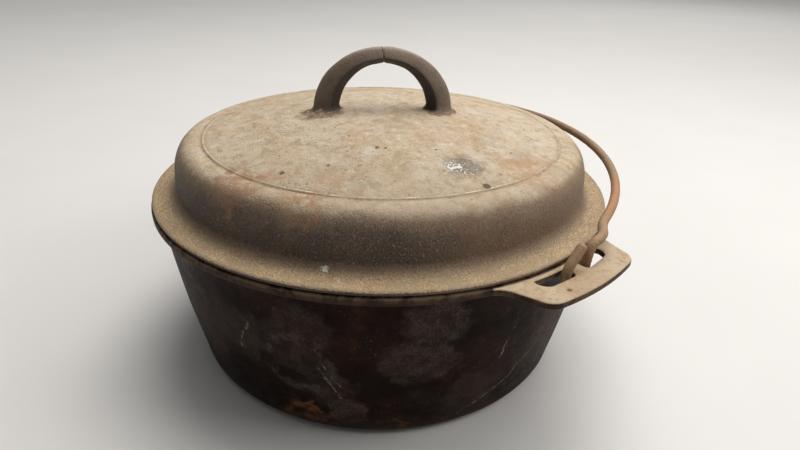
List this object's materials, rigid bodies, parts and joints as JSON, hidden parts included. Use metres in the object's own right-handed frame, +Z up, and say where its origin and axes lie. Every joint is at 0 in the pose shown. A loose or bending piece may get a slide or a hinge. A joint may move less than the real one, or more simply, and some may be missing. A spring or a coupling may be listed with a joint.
{
  "type": "cast iron dutch oven",
  "caption": "Round cast iron pot with two bridged slotted side ears, a flanged domed lid with an arch handle, and a wire bail lying back over the rim.",
  "frame": {"origin": "centre of the flat base, on the ground plane", "axes": "+X through the two ears, +Y towards the side the bail lies on, +Z up through the lid"},
  "size_m": [0.3144, 0.2762, 0.181],
  "materials": {
    "pot_iron": "seasoned dark iron, smudged and lightly rusted",
    "lid_iron": "dusty, rust-freckled raw iron",
    "bail_wire": "matt oxidised wire"
  },
  "bodies": {
    "pot": {"pot": "pot_iron"},
    "lid": {"lid": "lid_iron"},
    "bail": {"bail": "bail_wire"}
  },
  "joints": [
    {"name": "bail_swing", "type": "hinge", "parent": "pot", "child": "bail", "pos_m": [0, 0.0012, 0.0976], "axis": [1, 0, 0], "range_deg": [0, 135]},
    {"name": "lid_lift", "type": "slide", "parent": "pot", "child": "lid", "axis": [0, 0, 1], "range_m": [0, 0.09]}
  ]
}
